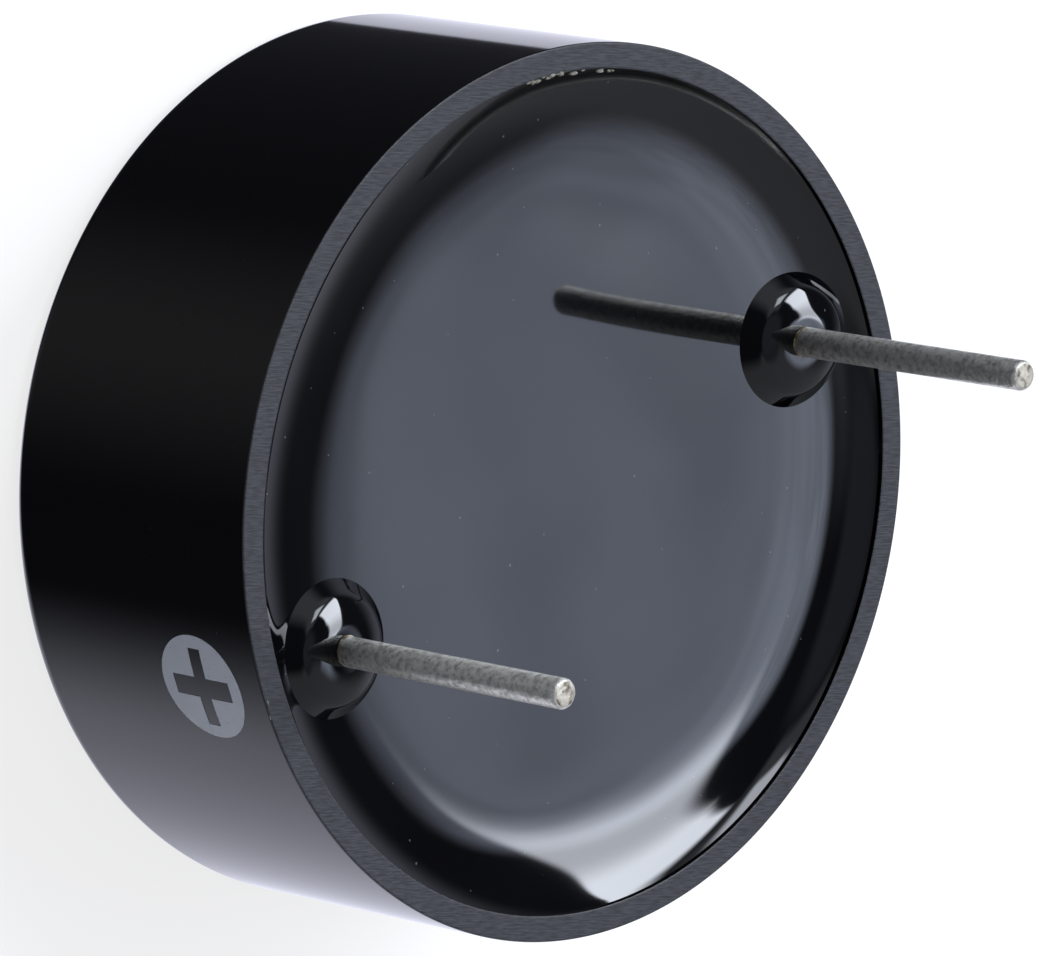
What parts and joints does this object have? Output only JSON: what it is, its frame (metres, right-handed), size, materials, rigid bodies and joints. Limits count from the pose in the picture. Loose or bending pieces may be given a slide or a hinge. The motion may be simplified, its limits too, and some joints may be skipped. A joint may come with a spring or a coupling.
{
  "type": "piezo buzzer",
  "caption": "Round potted piezo buzzer: a moulded cup with a sound hole, sealed with epoxy round two wire pins, holding a brass sounder disc and its drive circuit.",
  "frame": {"origin": "middle of the closed sound face, which the part stands on", "axes": "+Z along the case's axis, from the sound face towards the pins; +X towards the positive pin"},
  "size_m": [0.0234, 0.0234, 0.017],
  "materials": {
    "case_plastic": "semi-gloss black moulded plastic",
    "epoxy": "glossy black potting epoxy",
    "tinned_wire": "dull tinned wire",
    "brass_sheet": "rolled brass sheet",
    "piezo_ceramic": "matt fired ceramic",
    "fired_silver": "matt fired silver",
    "silicone": "soft white silicone",
    "board_laminate": "green glass-epoxy laminate",
    "copper": "copper foil",
    "component_black": "black moulding compound",
    "component_tan": "tan chip ceramic",
    "component_tin": "matt tin plating",
    "diode_glass": "orange glass",
    "ferrite": "dark grey ferrite",
    "magnet_wire": "enamelled copper wire",
    "sleeve_red": "red lead insulation",
    "sleeve_black": "black lead insulation",
    "sleeve_blue": "blue lead insulation",
    "solder": "bright solder"
  },
  "bodies": {
    "root": {"case": "case_plastic", "potting": "epoxy", "pin_positive": "tinned_wire", "pin_negative": "tinned_wire", "diaphragm": "brass_sheet", "piezo_ceramic": "piezo_ceramic", "main_electrode": "fired_silver", "feedback_electrode": "fired_silver", "diaphragm_seal": "silicone", "circuit_board": "board_laminate", "board_copper": "copper", "transistor_body": "component_black", "resistor_bodies": "component_black", "capacitor_body": "component_tan", "transistor_leads": "component_tin", "resistor_end_caps": "component_tin", "capacitor_end_caps": "component_tin", "diode_caps": "component_tin", "inductor_terminals": "component_tin", "diode_glass": "diode_glass", "inductor_core": "ferrite", "inductor_coil": "magnet_wire", "lead_cores": "magnet_wire", "lead_red": "sleeve_red", "lead_black": "sleeve_black", "lead_blue": "sleeve_blue", "disc_solder": "solder", "board_solder": "solder", "pin_solder": "solder"}
  },
  "joints": []
}
